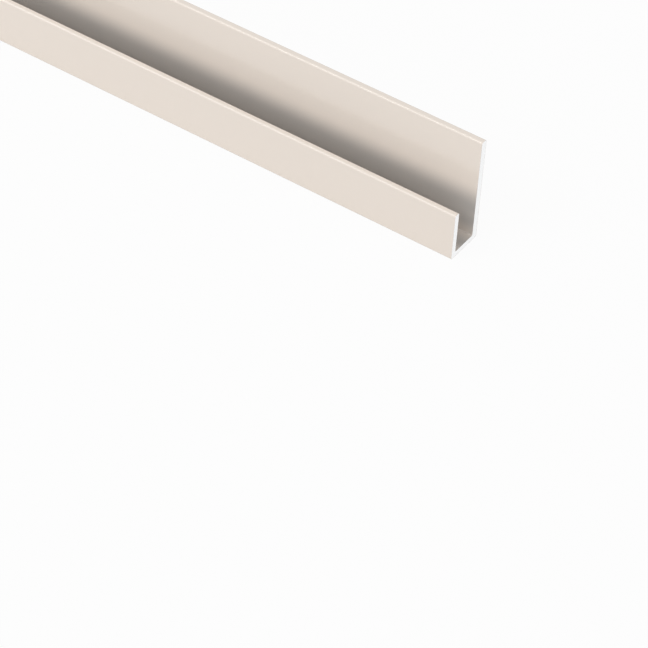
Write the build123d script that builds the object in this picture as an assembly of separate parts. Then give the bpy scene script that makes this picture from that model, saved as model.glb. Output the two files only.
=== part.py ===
from build123d import *
import os

# Picture rail: one length of extruded aluminium with a J-shaped section, coated all over
# and sawn square at both ends. All sizes are in millimetres.
# The length lies along X. The tall back wall, on the +Y side, goes flat against the wall of
# the room. The short lip, on the -Y side, closes off a channel that is open at the top.
# The rail stands on the underside of that channel, and the origin is the middle of it.

# Overall sizes
rail_length = 1000.0
rail_height = 28.0
rail_depth = 10.4
lip_height = 12.8

# Wall thicknesses
back_wall = 1.8
lip_wall = 1.6
channel_floor = 1.4

# Radii left by the extrusion die
edge_radius = 0.5
root_radius = 0.3

# The largest part of a wall's thickness that each of its two top edges may take
round_share = 0.45


def tip_radius(wall):
    """The radius of the two edges at the top of a wall, which leaves a flat between them."""
    return min(edge_radius, round_share * wall)


def j_section():
    """The rail's section, with depth along its X and height along its Y."""
    front = -rail_depth / 2
    back = rail_depth / 2
    lip_inside = front + lip_wall
    wall_inside = back - back_wall
    outline = Polyline(
        (front, 0),
        (back, 0),
        (back, rail_height),
        (wall_inside, rail_height),
        (wall_inside, channel_floor),
        (lip_inside, channel_floor),
        (lip_inside, lip_height),
        (front, lip_height),
        close=True,
    )
    section = Sketch() + make_face(outline)
    section = round_corners(section, 0, edge_radius)
    section = round_corners(section, channel_floor, root_radius)
    section = round_corners(section, lip_height, tip_radius(lip_wall))
    return round_corners(section, rail_height, tip_radius(back_wall))


def round_corners(section, height, radius):
    """Round the section's two corners that lie at one height."""
    near = 0.001
    corners = [corner for corner in section.vertices() if abs(corner.Y - height) < near]
    return fillet(corners, radius)


def rail():
    """The section drawn out to half the length on each side of the origin."""
    return extrude(Plane.YZ * j_section(), amount=rail_length / 2, both=True)


os.makedirs("parts", exist_ok=True)
export_step(rail(), "parts/rail.step")
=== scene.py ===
import math

import bmesh
import bpy
from bpy.props import FloatProperty, FloatVectorProperty, PointerProperty
from bpy.types import Operator, Panel, PropertyGroup
from mathutils import Matrix, Quaternion, Vector


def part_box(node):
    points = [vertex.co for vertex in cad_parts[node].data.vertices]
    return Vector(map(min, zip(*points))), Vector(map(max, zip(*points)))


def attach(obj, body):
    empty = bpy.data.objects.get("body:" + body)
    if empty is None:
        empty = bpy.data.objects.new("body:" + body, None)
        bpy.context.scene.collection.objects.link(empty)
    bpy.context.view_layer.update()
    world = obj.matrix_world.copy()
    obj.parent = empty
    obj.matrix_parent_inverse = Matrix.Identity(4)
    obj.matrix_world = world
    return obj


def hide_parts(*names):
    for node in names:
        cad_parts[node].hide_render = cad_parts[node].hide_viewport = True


bl_info = {
    "name": "Picture Rail",
    "version": (1, 0, 0),
    "blender": (4, 5, 0),
    "location": "3D View > Sidebar > Picture Rail",
    "description": "Dresses a J-section picture rail in cream powder coat and sets it on a pale floor",
    "category": "Add Mesh",
}

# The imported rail: its one node, the body it belongs to and the box that it fills, in metres
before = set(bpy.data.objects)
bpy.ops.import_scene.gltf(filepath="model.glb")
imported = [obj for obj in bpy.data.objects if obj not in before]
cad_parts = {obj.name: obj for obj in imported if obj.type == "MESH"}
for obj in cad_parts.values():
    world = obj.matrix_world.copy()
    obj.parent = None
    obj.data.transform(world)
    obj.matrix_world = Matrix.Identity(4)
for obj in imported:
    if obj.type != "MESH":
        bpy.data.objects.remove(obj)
RAIL_NODE = "rail"
RAIL_BODY = "root"
RAIL_LOW, RAIL_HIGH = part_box(RAIL_NODE)
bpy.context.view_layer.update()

MM = 0.001

# The materials' places on the rail's mesh
COAT_INDEX = 0
SAWN_INDEX = 1

# Straight lengths that stand for a quarter circle of the section's outer and inner corners
EDGE_STEPS = 12
ROOT_STEPS = 8

# How the finish is laid out on the square that it is baked to: the length in rows, one above the
# other, and the two sawn ends in a column beside them, with a gap round each
BAKE_MAP = "OFBake"
BAKE_ROWS = 3
BAKE_GAP = 0.008
ENDS_WIDTH = 0.2

# The picture that the camera is set for: its width and height in pixels, and the pixel at which
# the middle of the underside shows at the rail's right end
PICTURE_PX = 648
RAIL_END_PX = (463.5, 247.9)

# How far the key lamp stands from the rail's right end
KEY_DISTANCE = 2.0

# The floor's width, and the nearest thing that the camera shows
FLOOR_WIDTH = 12.0
CAMERA_NEAR = 10 * MM

# Faces that meet at more than this angle have a sharp edge between them
SHARP_ANGLE = math.radians(40)

# Refractive index of the coat's resin
COAT_IOR = 1.5

# How many patches of rougher gloss lie across one cloud of colour, and over how many saw marks
# the marks waver
HAZE_PER_CLOUD = 3
WAVER_MARKS = 2

WHITE = (1.0, 1.0, 1.0, 1.0)


class RailSizes(PropertyGroup):
    """What the rail's section measures inside its overall height and depth."""

    lip_height: FloatProperty(
        name="Lip height",
        description="Height of the front lip above the underside",
        default=12.8 * MM,
        unit="LENGTH",
        precision=4,
    )
    back_wall: FloatProperty(
        name="Back wall",
        description="Thickness of the tall wall at the back",
        default=1.8 * MM,
        unit="LENGTH",
        precision=4,
    )
    lip_wall: FloatProperty(
        name="Lip wall",
        description="Thickness of the front lip",
        default=1.6 * MM,
        unit="LENGTH",
        precision=4,
    )
    channel_floor: FloatProperty(
        name="Channel floor",
        description="Thickness of the web under the channel",
        default=1.4 * MM,
        unit="LENGTH",
        precision=4,
    )
    edge_radius: FloatProperty(
        name="Edge radius",
        description="Radius of the six outer corners of the section",
        default=0.5 * MM,
        unit="LENGTH",
        precision=4,
    )
    root_radius: FloatProperty(
        name="Root radius",
        description="Radius of the two inner corners at the bottom of the channel",
        default=0.3 * MM,
        unit="LENGTH",
        precision=4,
    )
    coat_thickness: FloatProperty(
        name="Coat thickness",
        description="Thickness of the powder coat, which shows round the bare metal of a sawn end",
        default=0.08 * MM,
        unit="LENGTH",
        precision=5,
    )


class CoatFinish(PropertyGroup):
    """The cream powder coat, and the shade painted deep in its channel."""

    colour: FloatVectorProperty(
        name="Colour",
        description="Main colour of the coat",
        default=(0.79, 0.713, 0.642),
        subtype="COLOR",
        size=3,
        min=0.0,
        max=1.0,
    )
    cloud_colour: FloatVectorProperty(
        name="Cloud colour",
        description="Colour that the coat drifts to in faint clouds",
        default=(0.775, 0.70, 0.628),
        subtype="COLOR",
        size=3,
        min=0.0,
        max=1.0,
    )
    # Painted shade: a greyer, darker colour that stands in for the shade deep in the channel
    painted_shade_colour: FloatVectorProperty(
        name="Deep colour",
        description="Greyer and darker colour deep in the channel, matched to the picture",
        default=(0.468, 0.445, 0.423),
        subtype="COLOR",
        size=3,
        min=0.0,
        max=1.0,
    )
    # The settings from here to the cloud size place the painted shade in the channel. They set how
    # deep below the mouth it starts, where it is fullest, and how much of it is eased near the two
    # roots.
    mouth_slope: FloatProperty(
        name="Mouth slope",
        description="Slope of the channel's mouth, from the lip's top up to the back wall",
        default=math.radians(45),
        subtype="ANGLE",
    )
    painted_shade_from: FloatProperty(
        name="Deep from",
        description="Depth below the channel's mouth at which the coat starts to turn grey",
        default=3.8 * MM,
        unit="LENGTH",
        precision=4,
    )
    painted_shade_to: FloatProperty(
        name="Deep to",
        description="Depth below the channel's mouth at which the coat is greyest",
        default=10.4 * MM,
        unit="LENGTH",
        precision=4,
    )
    shade_root_reach: FloatProperty(
        name="Root reach",
        description="How far from the channel's two roots the coat is less grey again",
        default=3.8 * MM,
        unit="LENGTH",
        precision=4,
    )
    shade_root_share: FloatProperty(
        name="Root share",
        description="Share of the grey that is left at the channel's two roots",
        default=0.38,
        subtype="FACTOR",
        min=0.0,
        max=1.0,
    )
    cloud_size: FloatProperty(
        name="Cloud size",
        description="Width of the clouds of colour",
        default=35 * MM,
        unit="LENGTH",
        precision=4,
    )
    roughness: FloatProperty(
        name="Roughness",
        description="Roughness of the gloss where the coat is smoothest",
        default=0.10,
        subtype="FACTOR",
        min=0.0,
        max=1.0,
    )
    roughness_spread: FloatProperty(
        name="Roughness spread",
        description="How much rougher the gloss gets in places",
        default=0.03,
        subtype="FACTOR",
        min=0.0,
        max=1.0,
    )
    peel_size: FloatProperty(
        name="Orange peel size",
        description="Width of the low waves that the melted powder leaves",
        default=1.6 * MM,
        unit="LENGTH",
        precision=4,
    )
    peel_height: FloatProperty(
        name="Orange peel height",
        description="Height of those waves",
        default=0.002 * MM,
        unit="LENGTH",
        precision=6,
    )


class SawnFinish(PropertyGroup):
    """The bare aluminium of the sawn ends."""

    colour: FloatVectorProperty(
        name="Colour",
        description="Colour of the bare aluminium",
        default=(0.975, 0.98, 0.985),
        subtype="COLOR",
        size=3,
        min=0.0,
        max=1.0,
    )
    roughness: FloatProperty(
        name="Roughness",
        description="Roughness of the sawn metal",
        default=0.38,
        subtype="FACTOR",
        min=0.0,
        max=1.0,
    )
    blade_radius: FloatProperty(
        name="Blade radius",
        description="Radius of the arcs that the saw blade leaves",
        default=125 * MM,
        unit="LENGTH",
        precision=4,
    )
    mark_pitch: FloatProperty(
        name="Mark pitch",
        description="Distance from one saw mark to the next",
        default=0.22 * MM,
        unit="LENGTH",
        precision=5,
    )
    mark_height: FloatProperty(
        name="Mark height",
        description="Height of the saw marks",
        default=0.006 * MM,
        unit="LENGTH",
        precision=6,
    )


class StageSettings(PropertyGroup):
    """The camera, the lamps and the floor."""

    azimuth: FloatProperty(
        name="Camera azimuth",
        description="How far the camera stands round to the rail's right end",
        default=math.radians(32.26),
        subtype="ANGLE",
    )
    elevation: FloatProperty(
        name="Camera elevation",
        description="How far the camera looks down",
        default=math.radians(42.67),
        subtype="ANGLE",
    )
    roll: FloatProperty(
        name="Camera roll",
        description="How far the camera is turned about its own line of sight",
        default=math.radians(3.70),
        subtype="ANGLE",
    )
    distance: FloatProperty(
        name="Camera distance",
        description="Distance from the camera to the rail's right end, along the line of sight",
        default=632.3 * MM,
        unit="LENGTH",
        precision=4,
    )
    lens: FloatProperty(
        name="Lens",
        description="Focal length on a sensor 36 mm wide",
        default=156.6,
        subtype="DISTANCE_CAMERA",
    )
    floor_colour: FloatVectorProperty(
        name="Floor colour",
        description="Colour of the pale floor",
        default=(0.71, 0.71, 0.71),
        subtype="COLOR",
        size=3,
        min=0.0,
        max=1.0,
    )
    floor_white: FloatProperty(
        name="Floor white",
        description="Share of plain white in how the floor looks, which leaves its shadows faint",
        default=0.94,
        subtype="FACTOR",
        min=0.0,
        max=1.0,
    )
    sky_dark: FloatProperty(
        name="Sky behind",
        description="Brightness of the soft sky where it is darkest, behind the rail",
        default=0.45,
        min=0.0,
    )
    sky_bright: FloatProperty(
        name="Sky in front",
        description="Brightness of the soft sky where it is brightest, in front of the rail",
        default=1.10,
        min=0.0,
    )
    sky_elevation: FloatProperty(
        name="Sky elevation",
        description="How high the brightest part of the sky is",
        default=math.radians(12),
        subtype="ANGLE",
    )
    key_power: FloatProperty(
        name="Key lamp power",
        description="Power of the soft lamp at the front left",
        default=8.9,
        unit="POWER",
    )
    key_azimuth: FloatProperty(
        name="Key lamp azimuth",
        description="How far the key lamp stands round to the rail's right end",
        default=math.radians(-36.3),
        subtype="ANGLE",
    )
    key_elevation: FloatProperty(
        name="Key lamp elevation",
        description="How high the key lamp stands",
        default=math.radians(43),
        subtype="ANGLE",
    )
    key_width: FloatProperty(
        name="Key lamp width",
        description="Width of the key lamp",
        default=900 * MM,
        unit="LENGTH",
    )
    key_height: FloatProperty(
        name="Key lamp height",
        description="Height of the key lamp",
        default=700 * MM,
        unit="LENGTH",
    )
    key_tilt: FloatProperty(
        name="Key lamp tilt",
        description="How far the key lamp's right end is raised",
        default=math.radians(23),
        subtype="ANGLE",
    )


class PictureRail(PropertyGroup):
    """All the settings of the picture rail and its stage."""

    sizes: PointerProperty(type=RailSizes)
    coat: PointerProperty(type=CoatFinish)
    sawn: PointerProperty(type=SawnFinish)
    stage: PointerProperty(type=StageSettings)


def arc(centre, radius, start, end, steps):
    """Points on an arc of the section, from one angle to another, in degrees."""
    points = []
    for step in range(steps + 1):
        angle = math.radians(start + (end - start) * step / steps)
        depth = centre[0] + radius * math.cos(angle)
        height = centre[1] + radius * math.sin(angle)
        points.append((depth, height))
    return points


def section_outline(sizes, inset=0.0):
    """The J outline as (depth, height) points, drawn the given distance inside the surface."""
    front = RAIL_LOW.y
    back = RAIL_HIGH.y
    bottom = RAIL_LOW.z
    top = RAIL_HIGH.z
    lip_top = bottom + sizes.lip_height
    channel = bottom + sizes.channel_floor
    lip_inside = front + sizes.lip_wall
    wall_inside = back - sizes.back_wall
    edge = sizes.edge_radius
    root = sizes.root_radius
    outer = edge - inset
    inner = root + inset
    corners = [
        ((front + edge, bottom + edge), outer, 180, 270, EDGE_STEPS),
        ((back - edge, bottom + edge), outer, 270, 360, EDGE_STEPS),
        ((back - edge, top - edge), outer, 0, 90, EDGE_STEPS),
        ((wall_inside + edge, top - edge), outer, 90, 180, EDGE_STEPS),
        ((wall_inside - root, channel + root), inner, 360, 270, ROOT_STEPS),
        ((lip_inside + root, channel + root), inner, 270, 180, ROOT_STEPS),
        ((lip_inside - edge, lip_top - edge), outer, 0, 90, EDGE_STEPS),
        ((front + edge, lip_top - edge), outer, 90, 180, EDGE_STEPS),
    ]
    outline = []
    for centre, radius, start, end, steps in corners:
        outline += arc(centre, radius, start, end, steps)
    return outline


def girths(outline):
    """How far round the section each point lies, from 0 at the first to 1 back at the first."""
    steps = [math.dist(here, after) for here, after in zip(outline, outline[1:] + outline[:1])]
    return [sum(steps[:count]) / sum(steps) for count in range(len(steps) + 1)]


def row_place(row, along, girth):
    """Where a point of the coat lies on the bake map, in the row of its stretch of the length."""
    margin = BAKE_GAP * BAKE_ROWS
    u = BAKE_GAP + along * (1 - ENDS_WIDTH - 2 * BAKE_GAP)
    v = (row + margin + girth * (1 - 2 * margin)) / BAKE_ROWS
    return u, v


def end_place(place):
    """Where a point of a sawn end lies on the bake map: the left end below the right one."""
    scale = (0.5 - 2 * BAKE_GAP) / (RAIL_HIGH.z - RAIL_LOW.z)
    at_right = place.x > 0
    across = place.y - RAIL_LOW.y if at_right else RAIL_HIGH.y - place.y
    u = 1 - ENDS_WIDTH + across * scale
    v = at_right * 0.5 + BAKE_GAP + (place.z - RAIL_LOW.z) * scale
    return u, v


def add_ring(mesh, outline, x):
    """One loop of vertices round the section at a place along the rail."""
    return [mesh.verts.new((x, depth, height)) for depth, height in outline]


def add_face(mesh, corners, places, material):
    """One smooth face, with the place of each of its corners on the bake map."""
    face = mesh.faces.new(corners)
    face.material_index = material
    face.smooth = True
    bake_map = mesh.loops.layers.uv[BAKE_MAP]
    for loop, place in zip(face.loops, places):
        loop[bake_map].uv = place


def add_stretch(mesh, outline, first, second, row):
    """The coat from one ring to the next one to its left, which is one row of the bake map."""
    girth = girths(outline)
    count = len(outline)
    for here in range(count):
        after = (here + 1) % count
        corners = (first[here], first[after], second[after], second[here])
        places = (
            row_place(row, 0.0, girth[here]),
            row_place(row, 0.0, girth[here + 1]),
            row_place(row, 1.0, girth[here + 1]),
            row_place(row, 1.0, girth[here]),
        )
        add_face(mesh, corners, places, COAT_INDEX)


def add_sawn_end(mesh, sizes, ring, x):
    """Close one end: the cut edge of the coat round the bare sawn metal."""
    metal = add_ring(mesh, section_outline(sizes, sizes.coat_thickness), x)
    for here in range(len(ring)):
        after = (here + 1) % len(ring)
        corners = (ring[here], metal[here], metal[after], ring[after])
        add_face(mesh, corners, [end_place(each.co) for each in corners], COAT_INDEX)
    add_face(mesh, metal, [end_place(each.co) for each in metal], SAWN_INDEX)


def rail_mesh(sizes):
    """The whole rail as one closed mesh, built from its right end to its left one."""
    mesh = bmesh.new()
    mesh.loops.layers.uv.new(BAKE_MAP)
    outline = section_outline(sizes)
    length = RAIL_HIGH.x - RAIL_LOW.x
    rings = [
        add_ring(mesh, outline, RAIL_HIGH.x - length * count / BAKE_ROWS)
        for count in range(BAKE_ROWS + 1)
    ]
    for row in range(BAKE_ROWS):
        add_stretch(mesh, outline, rings[row], rings[row + 1], row)
    add_sawn_end(mesh, sizes, rings[0], RAIL_HIGH.x)
    add_sawn_end(mesh, sizes, rings[-1], RAIL_LOW.x)
    bmesh.ops.recalc_face_normals(mesh, faces=mesh.faces)
    data = bpy.data.meshes.new("coated_rail")
    mesh.to_mesh(data)
    mesh.free()
    data.set_sharp_from_angle(angle=SHARP_ANGLE)
    return data


class Nodes:
    """A short way to write a material's nodes and the links between them."""

    def __init__(self, tree):
        self.tree = tree
        self.tree.nodes.clear()

    def add(self, kind, settings=None, **inputs):
        """Add a node, set its own settings, and set or link its inputs by name."""
        node = self.tree.nodes.new(kind)
        for name, value in (settings or {}).items():
            setattr(node, name, value)
        for name, value in inputs.items():
            self.put(node, name.replace("_", " "), value)
        return node

    def put(self, node, name, value):
        """Set one input of a node, or link it if the value is another node's output.

        A name such as i0 or i7 is an input's place in the node's list, where inputs share a name.
        """
        socket = node.inputs[int(name[1:])] if name[1:].isdigit() else node.inputs[name]
        if isinstance(value, bpy.types.NodeSocket):
            self.tree.links.new(value, socket)
        else:
            socket.default_value = value


def painted_shade_share(nodes, place, sizes, coat):
    """How much painted shade turns the coat grey: 0 all over the outside, up to 1 deep in the channel,
    where shade falls.
    """
    split = nodes.add("ShaderNodeSeparateXYZ", Vector=place)
    lip_top = RAIL_LOW.z + sizes.lip_height
    lip_inside = RAIL_LOW.y + sizes.lip_wall
    wall_inside = RAIL_HIGH.y - sizes.back_wall
    middle = (lip_inside + wall_inside) / 2
    half_width = (wall_inside - lip_inside) / 2
    slope = math.tan(coat.mouth_slope)

    aside = nodes.add(
        "ShaderNodeMath", {"operation": "SUBTRACT"}, i0=split.outputs["Y"], i1=middle
    )
    off_middle = nodes.add("ShaderNodeMath", {"operation": "ABSOLUTE"}, i0=aside.outputs["Value"])
    inside = nodes.add(
        "ShaderNodeMapRange",
        {"interpolation_type": "SMOOTHSTEP"},
        Value=off_middle.outputs["Value"],
        From_Min=half_width + sizes.edge_radius / 2,
        From_Max=half_width,
    )

    # Depth below the channel's mouth, down which the painted shade grows
    mouth = nodes.add(
        "ShaderNodeMath",
        {"operation": "MULTIPLY_ADD"},
        i0=split.outputs["Y"],
        i1=slope,
        i2=lip_top - lip_inside * slope,
    )
    depth = nodes.add(
        "ShaderNodeMath",
        {"operation": "SUBTRACT"},
        i0=mouth.outputs["Value"],
        i1=split.outputs["Z"],
    )
    deep = nodes.add(
        "ShaderNodeMapRange",
        {"interpolation_type": "SMOOTHSTEP"},
        Value=depth.outputs["Value"],
        From_Min=coat.painted_shade_from,
        From_Max=coat.painted_shade_to,
    )

    # Less of the painted shade near the channel's two roots
    folded = nodes.add(
        "ShaderNodeCombineXYZ", Y=off_middle.outputs["Value"], Z=split.outputs["Z"]
    )
    from_root = nodes.add(
        "ShaderNodeVectorMath",
        {"operation": "DISTANCE"},
        i0=folded.outputs["Vector"],
        i1=(0.0, half_width, RAIL_LOW.z + sizes.channel_floor),
    )
    shade_left_at_roots = nodes.add(
        "ShaderNodeMapRange",
        {"interpolation_type": "SMOOTHSTEP"},
        Value=from_root.outputs["Value"],
        From_Min=0.0,
        From_Max=coat.shade_root_reach,
        To_Min=coat.shade_root_share,
        To_Max=1.0,
    )
    above_underside = nodes.add(
        "ShaderNodeMath",
        {"operation": "GREATER_THAN"},
        i0=split.outputs["Z"],
        i1=RAIL_LOW.z + sizes.channel_floor / 2,
    )

    share = inside.outputs["Result"]
    for factor in (
        deep.outputs["Result"],
        shade_left_at_roots.outputs["Result"],
        above_underside.outputs["Value"],
    ):
        share = nodes.add(
            "ShaderNodeMath", {"operation": "MULTIPLY"}, i0=share, i1=factor
        ).outputs["Value"]
    return share


def powder_coat(sizes, coat):
    """Semi-gloss cream coat with faint clouds of colour, a fine orange peel and painted shade deep in
    the channel.
    """
    material = bpy.data.materials.new("cream_powder_coat")
    material.use_nodes = True
    nodes = Nodes(material.node_tree)
    place = nodes.add("ShaderNodeTexCoord").outputs["Object"]

    clouds = nodes.add(
        "ShaderNodeTexNoise", Vector=place, Scale=1 / coat.cloud_size, Detail=3.0
    )
    cloudy = nodes.add(
        "ShaderNodeMix",
        {"data_type": "RGBA"},
        i0=clouds.outputs["Fac"],
        i6=(*coat.colour, 1.0),
        i7=(*coat.cloud_colour, 1.0),
    )
    # Painted shade: the coat turns towards the greyer, darker colour deep in the channel
    colour = nodes.add(
        "ShaderNodeMix",
        {"data_type": "RGBA"},
        i0=painted_shade_share(nodes, place, sizes, coat),
        i6=cloudy.outputs[2],
        i7=(*coat.painted_shade_colour, 1.0),
    )
    haze = nodes.add(
        "ShaderNodeTexNoise", Vector=place, Scale=HAZE_PER_CLOUD / coat.cloud_size, Detail=2.0
    )
    roughness = nodes.add(
        "ShaderNodeMapRange",
        Value=haze.outputs["Fac"],
        To_Min=coat.roughness,
        To_Max=coat.roughness + coat.roughness_spread,
    )
    peel = nodes.add(
        "ShaderNodeTexNoise", Vector=place, Scale=1 / coat.peel_size, Detail=2.0, Roughness=0.4
    )
    bump = nodes.add(
        "ShaderNodeBump", Strength=1.0, Distance=coat.peel_height, Height=peel.outputs["Fac"]
    )
    shader = nodes.add(
        "ShaderNodeBsdfPrincipled",
        Base_Color=colour.outputs[2],
        Roughness=roughness.outputs["Result"],
        Normal=bump.outputs["Normal"],
        IOR=COAT_IOR,
    )
    nodes.add("ShaderNodeOutputMaterial", Surface=shader.outputs["BSDF"])
    return material


def sawn_aluminium(sawn):
    """Bare bright metal crossed by the fine arcs that a saw blade leaves."""
    material = bpy.data.materials.new("sawn_aluminium")
    material.use_nodes = True
    nodes = Nodes(material.node_tree)
    place = nodes.add("ShaderNodeTexCoord").outputs["Object"]

    blade_centre = Vector((0.0, RAIL_LOW.y - sawn.blade_radius, RAIL_LOW.z))
    split = nodes.add("ShaderNodeSeparateXYZ", Vector=place)
    flat_place = nodes.add(
        "ShaderNodeCombineXYZ", Y=split.outputs["Y"], Z=split.outputs["Z"]
    )
    reach = nodes.add(
        "ShaderNodeVectorMath",
        {"operation": "DISTANCE"},
        i0=flat_place.outputs["Vector"],
        i1=blade_centre,
    )
    waver = nodes.add(
        "ShaderNodeTexNoise", Vector=place, Scale=1 / (WAVER_MARKS * sawn.mark_pitch), Detail=3.0
    )
    turns = nodes.add(
        "ShaderNodeMath",
        {"operation": "MULTIPLY_ADD"},
        i0=reach.outputs["Value"],
        i1=2 * math.pi / sawn.mark_pitch,
        i2=waver.outputs["Fac"],
    )
    marks = nodes.add("ShaderNodeMath", {"operation": "SINE"}, i0=turns.outputs["Value"])
    bump = nodes.add(
        "ShaderNodeBump", Strength=1.0, Distance=sawn.mark_height, Height=marks.outputs["Value"]
    )
    shader = nodes.add(
        "ShaderNodeBsdfPrincipled",
        Base_Color=(*sawn.colour, 1.0),
        Metallic=1.0,
        Roughness=sawn.roughness,
        Normal=bump.outputs["Normal"],
    )
    nodes.add("ShaderNodeOutputMaterial", Surface=shader.outputs["BSDF"])
    return material


def link(thing):
    """Put an object in the scene."""
    bpy.context.scene.collection.objects.link(thing)
    return thing


class RAIL_OT_make_rail(Operator):
    """Make the coated rail with its sawn ends"""

    bl_idname = "picture_rail.make_rail"
    bl_label = "Make the rail"

    def execute(self, context):
        settings = context.scene.picture_rail
        data = rail_mesh(settings.sizes)
        data.materials.append(powder_coat(settings.sizes, settings.coat))
        data.materials.append(sawn_aluminium(settings.sawn))
        rail = link(bpy.data.objects.new("coated_rail", data))
        flats = rail.modifiers.new("even_flats", "WEIGHTED_NORMAL")
        flats.keep_sharp = True
        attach(rail, RAIL_BODY)
        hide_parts(RAIL_NODE)
        return {"FINISHED"}


def background_seen(nodes):
    """1 for a ray that sees the background: straight, in a mirror image or through glass."""
    path = nodes.add("ShaderNodeLightPath")
    seen = path.outputs["Is Camera Ray"]
    for kind in ("Is Glossy Ray", "Is Transmission Ray"):
        seen = nodes.add(
            "ShaderNodeMath", {"operation": "MAXIMUM"}, i0=seen, i1=path.outputs[kind]
        ).outputs["Value"]
    return seen


def floor_material(stage):
    """A pale floor that the camera sees as white where nothing shades it."""
    material = bpy.data.materials.new("pale_floor")
    material.use_nodes = True
    nodes = Nodes(material.node_tree)
    plain = nodes.add("ShaderNodeBsdfDiffuse", Color=(*stage.floor_colour, 1.0))
    white = nodes.add("ShaderNodeEmission", Color=WHITE, Strength=1.0)
    share = nodes.add(
        "ShaderNodeMath",
        {"operation": "MULTIPLY"},
        i0=background_seen(nodes),
        i1=stage.floor_white,
    )
    mixed = nodes.add(
        "ShaderNodeMixShader",
        i0=share.outputs["Value"],
        i1=plain.outputs["BSDF"],
        i2=white.outputs["Emission"],
    )
    nodes.add("ShaderNodeOutputMaterial", Surface=mixed.outputs["Shader"])
    return material


def add_floor(stage):
    """The floor that the rail stands on."""
    half = FLOOR_WIDTH / 2
    data = bpy.data.meshes.new("floor")
    corners = [(-half, -half, 0), (half, -half, 0), (half, half, 0), (-half, half, 0)]
    data.from_pydata(corners, [], [(0, 1, 2, 3)])
    data.materials.append(floor_material(stage))
    floor = link(bpy.data.objects.new("floor", data))
    floor.location.z = RAIL_LOW.z


def add_sky(stage):
    """A smooth sky that lights the rail most from in front, and that is seen as white."""
    world = bpy.data.worlds.new("soft_sky")
    world.use_nodes = True
    nodes = Nodes(world.node_tree)
    place = nodes.add("ShaderNodeTexCoord").outputs["Generated"]
    towards_bright = nodes.add(
        "ShaderNodeVectorMath",
        {"operation": "DOT_PRODUCT"},
        i0=place,
        i1=direction(0.0, stage.sky_elevation),
    )
    level = nodes.add(
        "ShaderNodeMapRange",
        Value=towards_bright.outputs["Value"],
        From_Min=-1.0,
        From_Max=1.0,
        To_Min=stage.sky_dark,
        To_Max=stage.sky_bright,
    )
    light = nodes.add(
        "ShaderNodeBackground", Color=WHITE, Strength=level.outputs["Result"]
    )
    white = nodes.add("ShaderNodeBackground", Color=WHITE, Strength=1.0)
    mixed = nodes.add(
        "ShaderNodeMixShader",
        i0=background_seen(nodes),
        i1=light.outputs["Background"],
        i2=white.outputs["Background"],
    )
    nodes.add("ShaderNodeOutputWorld", Surface=mixed.outputs["Shader"])
    bpy.context.scene.world = world


def direction(azimuth, elevation):
    """Which way something stands from the rail: azimuth 0 is in front, and grows to the right."""
    return Vector(
        (
            math.sin(azimuth) * math.cos(elevation),
            -math.cos(azimuth) * math.cos(elevation),
            math.sin(elevation),
        )
    )


def add_key_lamp(stage):
    """A large soft lamp at the front left, which the rounded top edges of both walls mirror."""
    data = bpy.data.lights.new("key_lamp", "AREA")
    data.energy = stage.key_power
    data.shape = "RECTANGLE"
    data.size = stage.key_width
    data.size_y = stage.key_height
    lamp = link(bpy.data.objects.new("key_lamp", data))
    towards = direction(stage.key_azimuth, stage.key_elevation)
    lamp.location = Vector((RAIL_HIGH.x, 0.0, 0.0)) + towards * KEY_DISTANCE
    lamp.rotation_mode = "QUATERNION"
    level = towards.to_track_quat("Z", "Y")
    lamp.rotation_quaternion = level @ Quaternion((0.0, 0.0, 1.0), stage.key_tilt)


def add_camera(stage):
    """The camera, placed so that the rail's right end shows at its place in the picture."""
    data = bpy.data.cameras.new("camera")
    data.lens = stage.lens
    data.clip_start = CAMERA_NEAR
    camera = link(bpy.data.objects.new("camera", data))
    back = direction(stage.azimuth, stage.elevation)
    level = back.to_track_quat("Z", "Y").to_matrix()
    turned = level @ Matrix.Rotation(stage.roll, 3, "Z")
    focal_px = stage.lens / data.sensor_width * PICTURE_PX
    middle = PICTURE_PX / 2
    seen = Vector((RAIL_END_PX[0] - middle, middle - RAIL_END_PX[1], -focal_px)) / focal_px
    rail_end = Vector((RAIL_HIGH.x, 0.0, RAIL_LOW.z))
    camera.location = rail_end - turned @ seen * stage.distance
    camera.rotation_mode = "QUATERNION"
    camera.rotation_quaternion = turned.to_quaternion()
    bpy.context.scene.camera = camera


class RAIL_OT_make_stage(Operator):
    """Make the pale floor, the soft light and the camera"""

    bl_idname = "picture_rail.make_stage"
    bl_label = "Make the stage"

    def execute(self, context):
        stage = context.scene.picture_rail.stage
        add_floor(stage)
        add_sky(stage)
        add_key_lamp(stage)
        add_camera(stage)
        context.scene.view_settings.view_transform = "Standard"
        return {"FINISHED"}


class RAIL_PT_sidebar(Panel):
    """The picture rail's buttons and settings"""

    bl_idname = "RAIL_PT_sidebar"
    bl_label = "Picture Rail"
    bl_space_type = "VIEW_3D"
    bl_region_type = "UI"
    bl_category = "Picture Rail"

    def draw(self, context):
        settings = context.scene.picture_rail
        for title, group, operator in (
            ("Section", settings.sizes, None),
            ("Powder coat", settings.coat, None),
            ("Sawn ends", settings.sawn, RAIL_OT_make_rail),
            ("Stage", settings.stage, RAIL_OT_make_stage),
        ):
            box = self.layout.box()
            box.label(text=title)
            for name in group.bl_rna.properties.keys():
                if name not in ("rna_type", "name"):
                    box.prop(group, name)
            if operator:
                box.operator(operator.bl_idname)


CLASSES = (
    RailSizes,
    CoatFinish,
    SawnFinish,
    StageSettings,
    PictureRail,
    RAIL_OT_make_rail,
    RAIL_OT_make_stage,
    RAIL_PT_sidebar,
)


def register():
    for each in CLASSES:
        bpy.utils.register_class(each)
    bpy.types.Scene.picture_rail = PointerProperty(type=PictureRail)


def unregister():
    del bpy.types.Scene.picture_rail
    for each in reversed(CLASSES):
        bpy.utils.unregister_class(each)


def main():
    """Make the dressed rail and its stage."""
    register()
    bpy.ops.picture_rail.make_rail()
    bpy.ops.picture_rail.make_stage()


if __name__ == "__main__":
    main()
